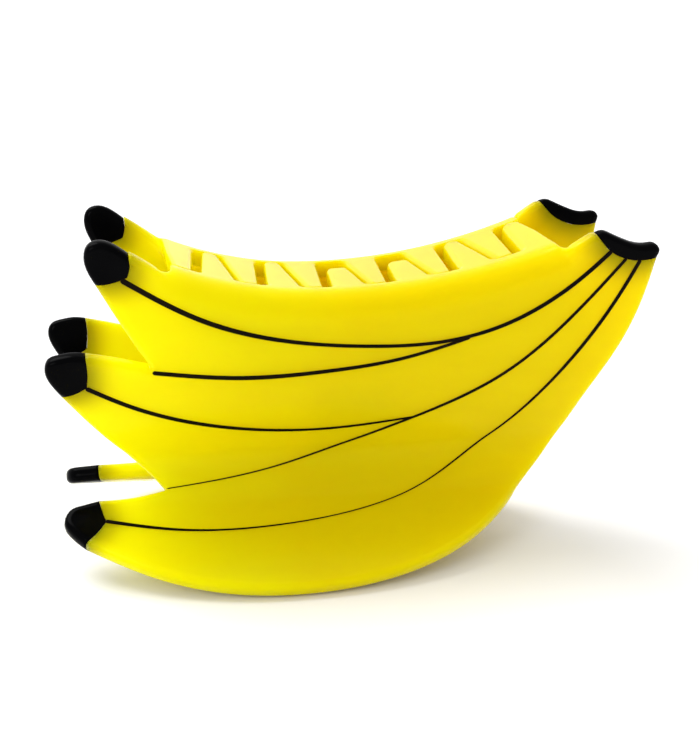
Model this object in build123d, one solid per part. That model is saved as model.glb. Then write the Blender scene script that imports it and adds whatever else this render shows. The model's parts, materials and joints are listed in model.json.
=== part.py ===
from build123d import *
from math import asin, atan2, cos, degrees, hypot, radians, sin, sqrt

# Banana-bunch hair claw: two mirrored jaws bent from acetate sheet, hinged on a sprung steel pin.
# X runs along the hinge (stems at +X), the front jaw is at -Y, teeth point up at +Z.
# Each jaw is drawn flat in (u, v), u along X and v down the sheet from the datum line, then bent.

# ---------------------------------------------------------------- driving dimensions (mm)
SHEET = 2.8            # acetate sheet thickness
HALF_WIDTH = 56.0      # cutting bodies reach this far left and right, past both ends of the jaw
V_START, V_END = -12.0, 66.0   # and this far up and down the sheet
REACH = 60.0           # and this far forward of the mid plane
DATUM_Z = 51.64        # height of the datum line of the flat drawing above the floor
TOP_HALF = 14.2        # outer face to mid plane at the datum line
LEAN_TOP = 7.3         # inward lean of the plate at the datum, degrees
LEAN_WAIST = 20.7      # inward lean just above the waist bend, degrees
PLATE_LEN = 33.4       # flat length from the datum to the waist bend
BEND_LEN = 11.0        # flat length of the waist bend, measured on the outer face
FLARE = 64.3           # outward flare of the thumb handle, degrees from vertical

SADDLE_X = -6.5        # lowest point of the concave top edge
SADDLE_Z = -4.1        # its height relative to the datum
SADDLE_R_TIPS = 66.0   # arc of the top edge towards the banana tips
SADDLE_R_STEM = 110.0  # arc of the top edge towards the stem
COMB_X0 = -30.3        # comb starts here
COMB_X1 = 33.3         # comb ends here
COMB_BEND_R = 4.0      # outer radius where the plate turns into the comb
COMB_BEND_R_IN = 1.2   # inner radius of the same bend
COMB_BACK = 20.0       # teeth are cut from a band this far past the mid plane
COMB_FOOT = DATUM_Z - 14.0   # the comb and the plate part below this height
TALL = 200.0           # taller than the whole clip
ON_SURFACE = 0.03      # an edge this close to a surface lies on it
LONG_EDGE = 5.0        # shorter edges are never part of the bend

TOOTH_PITCH = 10.7
TOOTH_ROOT = 5.8       # width of a tooth where it leaves the comb
TOOTH_TIP = 2.8        # width of a tooth at its tip
ROOT_Y = 8.2           # slot roots, from the mid plane
TIP_Y = 7.8            # long tooth tips reach this far across
SHORT_TIP_Y = 4.0      # the two short front teeth reach only this far
FRONT_TEETH = [-22.4 + TOOTH_PITCH * k for k in range(5)]
REAR_TEETH = [-17.5 + TOOTH_PITCH * k for k in range(5)]
SHORT_FRONT = (2, 3)   # which front teeth are short
END_TOOTH_GAP = 1.5    # clearance beside the end teeth
END_TOOTH_TAPER = 0.6  # the outer side of an end tooth leans in this much
TOOTH_BITE = 0.4       # overlap of a tooth with the comb's root strip before they are joined

LINE_W = 0.7           # width of the black inlaid lines
LINE_SAMPLES = 14      # points along each side of a line
LINE_DEPTH = 0.6       # depth of their grooves

PIVOT_Z = DATUM_Z - 36.0   # hinge axis height
PIN_D = 2.0
PIN_RUN = 0.05         # radial running clearance in the moving ears
PIN_HEAD_D = 3.4
PIN_HEAD_T = 0.7
PIN_HEAD_ROUND = 0.32  # rounding of the formed heads
EAR_T = 0.8            # hinge ear thickness
EAR_R = 2.35           # ear radius about the pin
REAR_EAR_X = 6.6       # centre of each fixed ear
FRONT_EAR_X = 5.6      # centre of each moving ear
EAR_SHOULDER = 50.0    # where the ear's back edge leaves the eye, degrees from vertical
EAR_INSET = 0.3        # the ear starts this far inside the strip's ends
EAR_STAND_OFF = 0.2    # gap between the ear's front edge and the plate below the strip
EAR_BACK = 1.2         # depth of the ear's back corner behind the plate
EAR_LOW_V = 31.4       # the ear follows the plate to here and to the waist
STRIP_T = 0.8          # hinge strip let into the inner face
STRIP_V0 = 22.0        # strip extent down the sheet
STRIP_V1 = 29.0
PIN_SPAN = 2 * (REAR_EAR_X + EAR_T / 2)   # over both fixed ears, and the width of the strip's pocket
WIRE_D = 0.7           # torsion spring wire
COIL_R = 2.1           # mean coil radius
COIL_TURNS = 6
COIL_PITCH = 0.9
LEG_PAST = 1.5         # leg length beyond the point where it bears on the handle
LEG_GAP = 0.15         # clearance between the leg and the handle

# ---------------------------------------------------------------- flat outline of one jaw, (u, v) points
TIP_TOP = [(-36.6, -2.9), (-38.7, -4.4), (-40.7, -5.1), (-42.6, -4.5), (-43.3, -2.6), (-42.9, -0.5),
           (-41.8, 1.7)]
SIDE_TOP = [(-41.8, 1.7), (-37.9, 9.0), (-33.6, 16.7)]
TIP_MIDDLE_UP = [(-33.6, 16.7), (-38.4, 15.4), (-43.65, 14.3)]
TIP_MIDDLE = [(-43.65, 14.3), (-45.6, 14.1), (-47.6, 14.4), (-49.5, 15.2), (-50.0, 16.7), (-49.4, 18.9),
              (-47.8, 21.5)]
SIDE_MIDDLE = [(-47.8, 21.5), (-40.3, 31.4), (-31.3, 40.5)]
TIP_LOWER_UP = [(-31.3, 40.5), (-36.8, 41.4), (-42.4, 41.6)]
TIP_LOWER = [(-42.4, 41.6), (-45.4, 42.2), (-47.6, 43.4), (-48.1, 45.0), (-47.2, 47.2), (-44.7, 50.0)]
BELLY = [(-44.7, 50.0), (-34.6, 56.2), (-22.0, 60.6), (-8.5, 61.6), (5.0, 59.7), (17.9, 54.4), (27.9, 46.9),
         (36.2, 37.7), (41.3, 26.6), (45.8, 15.9), (48.4, 7.0), (49.7, -1.3)]
STEM_RIGHT = [(49.7, -1.3), (50.0, -2.6), (49.5, -3.7)]
STEM_TOP = [(49.5, -3.7), (46.6, -3.4), (43.6, -4.2), (41.0, -5.3), (39.6, -5.7), (38.4, -5.3)]

# black regions: the cut across the jaw in one or two runs, then straight corners well outside the jaw
BLACK = {
    "tip_top": ([[(-36.6, -2.9), (-36.5, -1.3), (-36.9, 0.4)],
                 [(-36.9, 0.4), (-39.2, 1.3), (-41.8, 1.7)]],
                [(-43.5, 2.1), (-56.0, 2.1), (-56.0, -10.0), (-36.6, -10.0)]),
    "tip_middle": ([[(-43.65, 14.3), (-43.4, 16.9), (-43.6, 19.7)],
                    [(-43.6, 19.7), (-45.6, 20.9), (-47.8, 21.5)]],
                   [(-49.5, 22.0), (-56.0, 22.0), (-56.0, 11.5), (-43.65, 11.5)]),
    "tip_lower": ([[(-42.4, 41.6), (-41.9, 43.8), (-41.3, 45.9)],
                   [(-41.3, 45.9), (-42.9, 48.3), (-44.7, 50.0)]],
                  [(-46.0, 51.0), (-56.0, 51.0), (-56.0, 39.6), (-42.4, 39.6)]),
    "stem_cap": ([[(38.4, -5.3), (40.9, -2.7), (43.4, -1.4), (46.2, -0.9), (49.7, -1.3)]],
                 [(56.0, -2.4), (56.0, -10.0), (37.6, -10.0), (37.6, -6.2)]),
}

# black lines on the outer face
LINES = {
    "line_a": [(-37.9, 0.7), (-35.9, 2.0), (-25.4, 8.0), (-12.3, 12.0), (2.0, 13.5), (14.0, 13.1),
               (24.2, 10.3), (37.0, 1.6), (41.2, -2.9)],
    "line_b": [(-33.3, 17.2), (-18.7, 18.8), (-5.3, 18.1), (7.4, 16.1), (18.6, 12.5)],
    "line_c": [(-43.8, 19.7), (-37.0, 23.6), (-20.6, 29.0), (-3.4, 30.1), (10.9, 28.4)],
    "line_d": [(-31.2, 40.4), (-11.7, 37.3), (8.8, 29.4), (25.6, 19.9), (37.8, 6.8), (44.1, -2.0)],
    "line_e": [(-41.5, 45.9), (-29.5, 48.6), (-12.8, 48.8), (5.1, 45.3), (24.0, 34.5), (36.4, 19.0), (43.2, 6.5),
               (46.5, -1.6)],
}


# ---------------------------------------------------------------- bent profile
def arc_step(h, z, start, end, length):
    """Advance along a profile arc whose slope turns from start to end (radians)."""
    radius = length / (end - start)
    return h + radius * (cos(start) - cos(end)), z - radius * (sin(end) - sin(start))


def station(v):
    """Half depth, height and slope of the outer face at distance v down the sheet."""
    top, waist, flare = -radians(LEAN_TOP), -radians(LEAN_WAIST), radians(FLARE)
    if v <= 0:
        return TOP_HALF + sin(top) * v, DATUM_Z - cos(top) * v, top
    if v <= PLATE_LEN:
        slope = top + (waist - top) * v / PLATE_LEN
        return (*arc_step(TOP_HALF, DATUM_Z, top, slope, v), slope)
    h1, z1 = arc_step(TOP_HALF, DATUM_Z, top, waist, PLATE_LEN)
    if v <= PLATE_LEN + BEND_LEN:
        slope = waist + (flare - waist) * (v - PLATE_LEN) / BEND_LEN
        return (*arc_step(h1, z1, waist, slope, v - PLATE_LEN), slope)
    h2, z2 = arc_step(h1, z1, waist, flare, BEND_LEN)
    rest = v - PLATE_LEN - BEND_LEN
    return h2 + sin(flare) * rest, z2 - cos(flare) * rest, flare


def profile_point(v, depth=0.0):
    """Point of the front jaw's profile in the YZ plane, depth measured inwards from the outer face."""
    h, z, slope = station(v)
    return Vector(0, -h + depth * cos(slope), z - depth * sin(slope))


def front_view(u, v):
    """Flat drawing point seen from the front, in the XZ plane."""
    return Vector(u, 0, station(v)[1])


def saddle(x, drop=0.0):
    """Height of the concave top edge at x, or of a surface parallel to it."""
    radius = (SADDLE_R_TIPS if x < SADDLE_X else SADDLE_R_STEM) + drop
    centre = DATUM_Z + SADDLE_Z + radius - drop
    return centre - sqrt(radius ** 2 - (x - SADDLE_X) ** 2)


def saddle_arcs(x0, x1, drop=0.0):
    """The two tangent arcs of the concave top edge between x0 and x1."""
    xs = (x0, (x0 + SADDLE_X) / 2, SADDLE_X, (SADDLE_X + x1) / 2, x1)
    points = [Vector(x, 0, saddle(x, drop)) for x in xs]
    return ThreePointArc(*points[:3]), ThreePointArc(*points[2:])


# ---------------------------------------------------------------- sheet solids
def front_prism(edges):
    """Solid through the whole front half from a closed outline in the XZ plane."""
    return Solid.extrude(Face(Wire(edges)), Vector(0, -REACH, 0))


def smooth(points):
    """Spline through flat drawing points, seen from the front."""
    return Spline(*[front_view(u, v) for u, v in points])


def profile_edges(depth):
    """Profile of the sheet at one depth, from above the jaw's edge to below it."""
    bend, flat = PLATE_LEN, PLATE_LEN + BEND_LEN
    return [Line(profile_point(V_START, depth), profile_point(0, depth)),
            ThreePointArc(*[profile_point(v, depth) for v in (0, bend / 2, bend)]),
            ThreePointArc(*[profile_point(v, depth) for v in (bend, (bend + flat) / 2, flat)]),
            Line(profile_point(flat, depth), profile_point(V_END, depth))]


def sheet_layer(depth0, depth1, x0=-HALF_WIDTH, x1=HALF_WIDTH):
    """Layer of the bent sheet between two depths and two x positions."""
    ends = [Line(profile_point(v, depth0), profile_point(v, depth1)) for v in (V_START, V_END)]
    section = Face(Wire(profile_edges(depth0) + profile_edges(depth1) + ends))
    return Pos(x0, 0, 0) * Solid.extrude(section, Vector(x1 - x0, 0, 0))


def outer_faces(prism):
    """Faces of the outer sheet surface inside a front prism."""
    faces = []
    for edge in profile_edges(0):
        strip = Pos(-HALF_WIDTH, 0, 0) * Face.extrude(edge, Vector(2 * HALF_WIDTH, 0, 0))
        faces += list((strip & prism).faces())
    return faces


def thick_sheet(prism, depth):
    """Sheet of a given thickness behind the outer surface, its edges square to the surface."""
    body = None
    inward = Vector(0, 1, -0.5)
    for face in outer_faces(prism):
        side = 1 if face.normal_at().dot(inward) > 0 else -1
        part = Solid.thicken(face, depth * side)
        body = part if body is None else body + part
    return body


def jaw_prism():
    """Front view of one jaw, pushed through the front half."""
    left, right = saddle_arcs(-36.6, 38.4)
    start, end = front_view(*TIP_TOP[0]), front_view(*STEM_TOP[-1])
    runs = [TIP_TOP, SIDE_TOP, TIP_MIDDLE_UP, TIP_MIDDLE, SIDE_MIDDLE, TIP_LOWER_UP, TIP_LOWER, BELLY,
            STEM_RIGHT, STEM_TOP]
    edges = [smooth(run) for run in runs]
    return front_prism([left, right, Line(right @ 1, end)] + edges + [Line(start, left @ 0)])


def black_prism(name):
    """Front view of a black region, pushed through the front half."""
    runs, corners = BLACK[name]
    outside = [front_view(*point) for point in [runs[-1][-1]] + corners + [runs[0][0]]]
    return front_prism([smooth(run) for run in runs] + [Line(a, b) for a, b in zip(outside, outside[1:])])


def line_prism(name):
    """Constant-width ribbon along a line of the flat drawing, pushed through the front half."""
    centre = Spline(*[Vector(u, v, 0) for u, v in LINES[name]])
    sides = []
    for half in (-LINE_W / 2, LINE_W / 2):
        offset = []
        for k in range(LINE_SAMPLES + 1):
            t = k / LINE_SAMPLES
            point, along = centre @ t, (centre % t).normalized()
            offset.append(front_view(point.X - along.Y * half, point.Y + along.X * half))
        sides.append(offset)
    ends = [Line(sides[0][-1], sides[1][-1]), Line(sides[1][0], sides[0][0])]
    return front_prism([Spline(*sides[0]), ends[0], Spline(*sides[1][::-1]), ends[1]])


def comb_band(drop):
    """Closed front view of the comb's thickness between its two ends."""
    upper = list(saddle_arcs(COMB_X0, COMB_X1))
    lower = list(saddle_arcs(COMB_X0, COMB_X1, drop))
    return upper + lower + [Line(upper[1] @ 1, lower[1] @ 1), Line(lower[0] @ 0, upper[0] @ 0)]


def tooth(x, tip_y):
    """Plan view of one tooth of the front comb, from behind its root to its tip."""
    slope = (TOOTH_ROOT - TOOTH_TIP) / 2 / (ROOT_Y + TIP_Y)
    tip = TOOTH_ROOT / 2 - slope * (ROOT_Y + tip_y)
    root = TOOTH_ROOT / 2 + slope * TOOTH_BITE
    back = -ROOT_Y - TOOTH_BITE
    return Polyline((x - root, back), (x - tip, tip_y), (x + tip, tip_y), (x + root, back), close=True)


def end_tooth(x_end, neighbour):
    """Plan view of the wide end tooth between the comb's end and the far side of a neighbouring tooth."""
    side = 1 if x_end > neighbour else -1
    at_root = neighbour + side * (TOOTH_TIP / 2 + END_TOOTH_GAP)
    at_tip = neighbour + side * (TOOTH_ROOT / 2 + END_TOOTH_GAP)
    back = -ROOT_Y - TOOTH_BITE
    return Polyline((at_root, back), (at_root, -ROOT_Y), (at_tip, TIP_Y), (x_end - side * END_TOOTH_TAPER, TIP_Y),
                    (x_end, 0), (x_end, back), close=True)


def under_saddle():
    """Front half between the saddle and the comb's foot, over the comb's length."""
    left, right = saddle_arcs(COMB_X0, COMB_X1)
    feet = [Vector(COMB_X1, 0, COMB_FOOT), Vector(COMB_X0, 0, COMB_FOOT)]
    return front_prism([left, right, Line(right @ 1, feet[0]), Line(*feet), Line(feet[1], left @ 0)])


def comb(plans):
    """Comb of one jaw: root strip with the plate's top corner rounded, then the teeth."""
    band = Pos(0, COMB_BACK, 0) * front_prism(comb_band(SHEET))
    root = Box(COMB_X1 - COMB_X0, COMB_BACK, TALL, align=(Align.MIN, Align.MAX, Align.CENTER))
    strip = band & sheet_layer(0, REACH - COMB_BACK) & (Pos(COMB_X0, -ROOT_Y, 0) * root)
    corner = strip + (sheet_layer(0, SHEET, COMB_X0, COMB_X1) & under_saddle())
    corner = round_corner(corner, 0, COMB_BEND_R)
    corner = round_corner(corner, SHEET, COMB_BEND_R_IN)
    for plan in plans:
        corner = corner + (band & extrude(Face(Wire(plan)), TALL, both=True))
    return corner


def round_corner(body, depth, radius):
    """Fillet the comb's long corner edges that lie at this depth of the sheet."""
    picked = []
    for edge in body.edges():
        points = [edge @ t for t in (0, 0.5, 1)]
        on_saddle = all(abs(p.Z - saddle(p.X, depth)) < ON_SURFACE for p in points)
        on_sheet = all(abs(p.Y + half_depth(p.Z, depth)) < ON_SURFACE for p in points)
        if on_saddle and on_sheet and edge.length > LONG_EDGE:
            picked.append(edge)
    return body.fillet(radius, picked)


def half_depth(z, depth):
    """Half depth of the plate surface at height z, by bisection on the flat length."""
    low, high = V_START, PLATE_LEN
    for _ in range(50):
        mid = (low + high) / 2
        if profile_point(mid, depth).Z > z:
            low = mid
        else:
            high = mid
    return -profile_point(low, depth).Y


def jaw_pieces(plans):
    """All the pieces of one jaw, drawn at the front: yellow sheet, black ends, black lines."""
    above = Box(COMB_X1 - COMB_X0, 2 * REACH, TALL, align=(Align.MIN, Align.CENTER, Align.MIN))
    sheet = thick_sheet(jaw_prism(), SHEET) - Pos(COMB_X0, 0, COMB_FOOT) * above
    pieces = {}
    for name in BLACK:
        region = black_prism(name)
        pieces[name] = sheet & region
        sheet = sheet - region
    sheet = sheet + comb(plans)
    layer = sheet_layer(0, LINE_DEPTH)
    for name in ("line_a", "line_d", "line_e", "line_b", "line_c"):
        inlay = sheet & (line_prism(name) & layer)
        pieces[name] = inlay
        sheet = sheet - inlay
    pieces["jaw"] = sheet - hinge_strip(PIN_SPAN / 2)
    return pieces


# ---------------------------------------------------------------- hinge
def hinge_strip(half_width):
    """Steel strip let into the front jaw's inner face, flush with it."""
    middle = (STRIP_V0 + STRIP_V1) / 2
    near = ThreePointArc(*[profile_point(v, SHEET - STRIP_T) for v in (STRIP_V0, middle, STRIP_V1)])
    far = ThreePointArc(*[profile_point(v, SHEET) for v in (STRIP_V0, middle, STRIP_V1)])
    section = Face(Wire([near, far, Line(near @ 0, far @ 0), Line(near @ 1, far @ 1)]))
    return Pos(-half_width, 0, 0) * Solid.extrude(section, Vector(2 * half_width, 0, 0))


def ear(x, hole_d):
    """One hinge ear of the front jaw: a web from the strip down to an eye about the pin."""
    mid_strip = SHEET - STRIP_T / 2
    shoulder = radians(EAR_SHOULDER)
    web = [profile_point(v, mid_strip) for v in (STRIP_V0 + EAR_INSET, STRIP_V1 - EAR_INSET)]
    web += [profile_point(v, SHEET + EAR_STAND_OFF) for v in (STRIP_V1, EAR_LOW_V, PLATE_LEN)]
    web += [Vector(0, -EAR_R, PIVOT_Z), Vector(0, 0, PIVOT_Z)]
    web += [Vector(0, EAR_R * sin(shoulder), PIVOT_Z + EAR_R * cos(shoulder))]
    web += [profile_point(STRIP_V0 + EAR_INSET, SHEET + EAR_BACK)]
    edges = [Line(a, b) for a, b in zip(web, web[1:] + web[:1])]
    blade = Pos(x - EAR_T / 2, 0, 0) * Solid.extrude(Face(Wire(edges)), Vector(EAR_T, 0, 0))
    lying = Pos(x, 0, PIVOT_Z) * Rot(0, 90, 0)
    return blade + lying * Cylinder(EAR_R, EAR_T) - lying * Cylinder(hole_d / 2, 4 * EAR_T)


def bracket(ear_x, hole_d):
    """Hinge bracket of one jaw: the strip and its two ears."""
    body = hinge_strip(ear_x + EAR_T / 2)
    for x in (-ear_x, ear_x):
        body = body + ear(x, hole_d)
    return body


def hinge_pin():
    """Headed pin, both ends formed over the fixed ears."""
    body = Pos(0, 0, PIVOT_Z) * Rot(0, 90, 0) * Cylinder(PIN_D / 2, PIN_SPAN)
    head = Cylinder(PIN_HEAD_D / 2, PIN_HEAD_T)
    head = fillet(head.edges().filter_by(GeomType.CIRCLE).group_by(Axis.Z)[-1], PIN_HEAD_ROUND)
    for side in (-1, 1):
        body = body + Pos(side * (PIN_SPAN + PIN_HEAD_T) / 2, 0, PIVOT_Z) * Rot(0, 90 * side, 0) * head
    return body


def torsion_spring():
    """Coil about the pin with one straight leg under each thumb handle."""
    touch = profile_point(PLATE_LEN + BEND_LEN, SHEET + WIRE_D / 2 + LEG_GAP) - Vector(0, 0, PIVOT_Z)
    reach = hypot(touch.Y, touch.Z)
    away = degrees(asin(COIL_R / reach))
    bearing = degrees(atan2(touch.Z, touch.Y)) + 90 - away
    start = Vector(0, COIL_R * cos(radians(bearing)), COIL_R * sin(radians(bearing)))
    sweep_deg = (180 - 2 * bearing) % 360 + 360 * (COIL_TURNS - 1)
    length = COIL_PITCH * sweep_deg / 360
    frame = Plane(origin=(-length / 2, 0, PIVOT_Z), x_dir=start, z_dir=(1, 0, 0))
    coil = (frame.location * Helix(pitch=COIL_PITCH, height=length, radius=COIL_R)).edges()[0]
    feet = []
    for side, root in ((1, coil @ 0), (-1, coil @ 1)):
        run = Vector(root.X, side * touch.Y, PIVOT_Z + touch.Z) - root
        feet.append(root + run.normalized() * (run.length + LEG_PAST))
    path = Wire([Line(feet[0], coil @ 0), coil, Line(coil @ 1, feet[1])])
    section = Plane(origin=feet[0], z_dir=(coil @ 0) - feet[0]) * Circle(WIRE_D / 2)
    return sweep(section, path=path, is_frenet=True, transition=Transition.TRANSFORMED)


# ---------------------------------------------------------------- nodes
def save(name, shape):
    """Export one node as a single solid."""
    solids = shape.solids()
    if len(solids) != 1:
        raise ValueError(f"{name} has {len(solids)} solids")
    print(name, round(shape.volume, 2), shape.is_valid)
    export_step(solids[0], f"parts/{name}.step")


front_plans = [tooth(x, SHORT_TIP_Y if k in SHORT_FRONT else TIP_Y) for k, x in enumerate(FRONT_TEETH)]
front_plans.append(end_tooth(COMB_X1, REAR_TEETH[-1]))
rear_plans = [end_tooth(COMB_X0, FRONT_TEETH[0])] + [tooth(x, TIP_Y) for x in REAR_TEETH]

for side, plans, ear_x, hole in (("front", front_plans, FRONT_EAR_X, PIN_D + 2 * PIN_RUN),
                                 ("rear", rear_plans, REAR_EAR_X, PIN_D)):
    pieces = jaw_pieces(plans)
    pieces["hinge_bracket"] = bracket(ear_x, hole)
    for name, shape in pieces.items():
        save(f"{side}_{name}", shape if side == "front" else mirror(shape, about=Plane.XZ))
save("hinge_pin", hinge_pin())
save("torsion_spring", torsion_spring())
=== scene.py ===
import json
import math

import bpy
import numpy as np
from mathutils import Matrix, Vector
from mathutils.geometry import delaunay_2d_cdt


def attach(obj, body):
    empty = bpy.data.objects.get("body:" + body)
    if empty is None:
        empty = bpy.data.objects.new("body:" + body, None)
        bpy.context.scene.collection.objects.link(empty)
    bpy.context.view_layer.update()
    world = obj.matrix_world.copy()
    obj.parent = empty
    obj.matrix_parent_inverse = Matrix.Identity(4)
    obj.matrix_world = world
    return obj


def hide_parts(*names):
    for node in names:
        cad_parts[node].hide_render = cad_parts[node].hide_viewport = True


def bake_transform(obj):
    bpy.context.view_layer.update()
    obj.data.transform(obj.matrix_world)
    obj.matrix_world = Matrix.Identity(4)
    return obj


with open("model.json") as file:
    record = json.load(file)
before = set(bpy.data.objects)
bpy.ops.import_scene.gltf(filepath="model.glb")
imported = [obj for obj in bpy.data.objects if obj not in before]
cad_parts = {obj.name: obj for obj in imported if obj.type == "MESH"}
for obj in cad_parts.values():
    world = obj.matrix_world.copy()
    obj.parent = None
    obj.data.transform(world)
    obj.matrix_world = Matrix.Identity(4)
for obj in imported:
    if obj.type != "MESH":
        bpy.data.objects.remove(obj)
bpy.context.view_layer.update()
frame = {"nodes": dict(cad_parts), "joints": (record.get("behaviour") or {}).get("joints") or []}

# Banana-bunch hair claw. Jaws are drawn flat in millimetres, u along X and v down the sheet from a datum
# line, then laid on the bent profile of the sheet. Meshes are made in metres, in the frame of the CAD model.

MM = 0.001
MIRROR = np.array([1, -1, 1])   # from the front jaw to the rear one
REAR, FRONT = "rear_jaw_body", "front_jaw_body"
JOINT = frame["joints"][0]
PIVOT_Z = JOINT["pos_m"][2] / MM

# ---------------------------------------------------------------- profile of the bent sheet
SHEET = 2.8             # sheet thickness
DATUM_Z = PIVOT_Z + 36  # height of the datum line
TOP_HALF = 14.2         # outer face to mid plane at the datum line
LEAN_TOP = math.radians(7.3)
LEAN_WAIST = math.radians(20.7)
FLARE = math.radians(64.3)
PLATE_LEN = 33.4        # datum to the waist bend
BEND_LEN = 11.0         # length of the waist bend

SADDLE_X, SADDLE_Z = -6.5, -4.1   # lowest point of the concave top edge, from the datum
SADDLE_R_TIPS, SADDLE_R_STEM = 66.0, 110.0
COMB_X0, COMB_X1 = -30.3, 33.3    # ends of the comb
COMB_BEND_R = 4.0                 # outer radius where the plate turns into the comb
TOOTH_PITCH, TOOTH_ROOT, TOOTH_TIP = 10.7, 5.8, 2.8
ROOT_Y, TIP_Y, SHORT_TIP_Y = 8.2, 8.0, 4.0
FRONT_TEETH = [-22.4 + TOOTH_PITCH * k for k in range(5)]
REAR_TEETH = [-17.5 + TOOTH_PITCH * k for k in range(5)]
SHORT_FRONT = (2, 3)              # the front teeth that stop short
END_TOOTH_GAP = 1.5               # from the last tooth's middle line to the wide end tooth's
END_TOOTH_TAPER = 0.6             # the outer side of an end tooth leans in this much
EASE_TIPS, EASE_STEM = 2.6, 1.8   # length over which the bend dies away past the comb's ends
EDGE_TURN = 0.75                  # share of the bend's turn that the free edge has at the comb's ends
EDGE_DROP = 0.9                   # the plate's free edge sinks this much towards the comb's ends

# ---------------------------------------------------------------- edges and spacing
RIM = 1.05              # rounding of the free edges
CLOSED_RIM = 0.2        # rounding where a long tooth meets the other comb's root
COMB_RIM = 0.75         # rounding of the comb's cut edges
SEAM_RIM = 0.07         # rounding where yellow meets black
SEAM_GAP = 0.015        # half the glue line between yellow and black
SOFT_EDGE = 0.18        # strip that keeps the shading of a rounding narrow
CORNER = 1.25           # length cut off each side of a comb corner to round it
NOTCH_CORNER = 0.3      # the same in the notches between bananas
CORNER_STEP = 0.22      # spacing along a rounded corner
CORNER_SHARE = 0.48     # a rounded corner takes at most this share of a run
LEAST_STEP = 0.05       # points closer than this to a corner are dropped
SHARP_TURN = 0.2        # sine of the turn from which a sharp corner is mitred
ROUND_STEPS = 6         # rings in a rounding
STEP = 0.75             # spacing along an outline
COMB_STEP = 0.5         # spacing along the comb's edges
FINE_STEP = 0.1         # spacing for measuring along a seam
END_STEP = 0.5          # spacing round the black ends
SEAM_STEP = 0.3         # spacing of the seam points that darken the yellow
SEAM_START = 1.45       # first spacing along a seam, wider than a rounding and its soft edge
GRID, END_GRID = 1.15, 0.9   # spacing of the points inside a yellow or a black face
ROW, BEND_ROW = 0.87, 0.62   # spacing of the rows and of the points in the comb's bend, in grids
BEND_OFFSET = 0.3       # the first point of the bend is this far from its start
CLEAR = 0.55            # least distance of those points from an outline
CHUNK = 200             # outline points compared at a time when measuring distances
KEEP_INSIDE, SAME_POINT = 1, 1e-6   # Delaunay options: triangles inside the loop, merging distance
NEAR_BLACK_SHADE_REACH = 3.0              # reach of the painted shade that darkens the yellow beside black, in place of light the translucent sheet loses into the black pieces

# ---------------------------------------------------------------- flat outlines, (u, v)
TIP_TOP = [(-36.6, -2.9), (-38.7, -4.4), (-40.7, -5.1), (-42.6, -4.5), (-43.3, -2.6), (-42.9, -0.5),
           (-41.8, 1.7)]
SIDE_TOP = [(-41.8, 1.7), (-37.9, 9.0), (-33.6, 16.7)]
TIP_MIDDLE_UP = [(-33.6, 16.7), (-38.4, 15.4), (-43.65, 14.3)]
TIP_MIDDLE = [(-43.65, 14.3), (-45.6, 14.1), (-47.6, 14.4), (-49.5, 15.2), (-50.0, 16.7), (-49.4, 18.9),
              (-47.8, 21.5)]
SIDE_MIDDLE = [(-47.8, 21.5), (-40.3, 31.4), (-31.3, 40.5)]
TIP_LOWER_UP = [(-31.3, 40.5), (-36.8, 41.4), (-42.4, 41.6)]
TIP_LOWER = [(-42.4, 41.6), (-45.4, 42.2), (-47.6, 43.4), (-48.1, 45.0), (-47.2, 47.2), (-44.7, 50.0)]
BELLY = [(-44.7, 50.0), (-34.6, 56.2), (-22.0, 60.6), (-8.5, 61.6), (5.0, 59.7), (17.9, 54.4), (27.6, 46.5),
         (36.2, 37.7), (41.3, 26.6), (45.8, 15.9), (48.4, 7.0), (49.7, -1.3)]
STEM_RIGHT = [(49.7, -1.3), (50.0, -2.6), (49.5, -3.7)]
STEM_TOP = [(49.5, -3.7), (46.6, -3.4), (43.6, -4.2), (41.0, -5.3), (39.6, -5.7), (38.4, -5.3)]

SEAMS = {
    "tip_top": [[(-36.6, -2.9), (-36.5, -1.3), (-36.9, 0.4)],
                [(-36.9, 0.4), (-39.2, 1.3), (-41.8, 1.7)]],
    "tip_middle": [[(-43.65, 14.3), (-43.4, 16.9), (-43.6, 19.7)],
                   [(-43.6, 19.7), (-45.6, 20.9), (-47.8, 21.5)]],
    "tip_lower": [[(-42.4, 41.6), (-41.9, 43.8), (-41.3, 45.9)],
                  [(-41.3, 45.9), (-42.9, 48.3), (-44.7, 50.0)]],
    "stem_cap": [[(49.7, -1.3), (46.2, -0.9), (43.4, -1.4), (40.9, -2.7), (38.4, -5.3)]],
}
ENDS = {"tip_top": [TIP_TOP], "tip_middle": [TIP_MIDDLE], "tip_lower": [TIP_LOWER],
        "stem_cap": [STEM_RIGHT, STEM_TOP]}

# inlaid lines: points, then widths spread evenly along the line
LINES = {
    "line_a": ([(-37.9, 0.7), (-35.9, 2.0), (-25.4, 8.0), (-12.3, 12.0), (2.0, 13.5), (14.0, 13.1),
                (24.2, 10.3), (37.0, 1.6), (41.2, -2.7)],
               [0.9, 0.86, 0.68, 0.66, 0.78, 0.8]),
    "line_b": ([(-33.3, 17.2), (-18.7, 18.8), (-5.3, 18.1), (7.4, 16.1), (18.8, 12.4)],
               [0.8, 0.84, 0.7, 0.6]),
    "line_c": ([(-43.8, 19.7), (-37.0, 23.6), (-20.6, 29.0), (-3.4, 30.1), (10.9, 28.4)],
               [0.84, 0.76, 0.54, 0.44]),
    "line_d": ([(-31.1, 40.4), (-11.7, 37.3), (8.8, 29.4), (25.6, 19.9), (37.8, 6.8), (44.0, -1.4)],
               [0.2, 0.26, 0.48, 0.62, 0.62, 0.6]),
    "line_e": ([(-41.5, 45.9), (-29.5, 48.6), (-12.8, 48.8), (5.1, 45.3), (24.0, 34.5), (36.4, 19.0),
                (43.2, 6.5), (46.5, -1.1)],
               [0.76, 0.4, 0.26, 0.24, 0.44, 0.7, 0.7]),
}
LINE_STEP = 0.2         # spacing along a line
LINE_CROWN = 0.045      # a line stands this proud at its middle
LINE_SIDE = 0.012       # and this far at its sides
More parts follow.
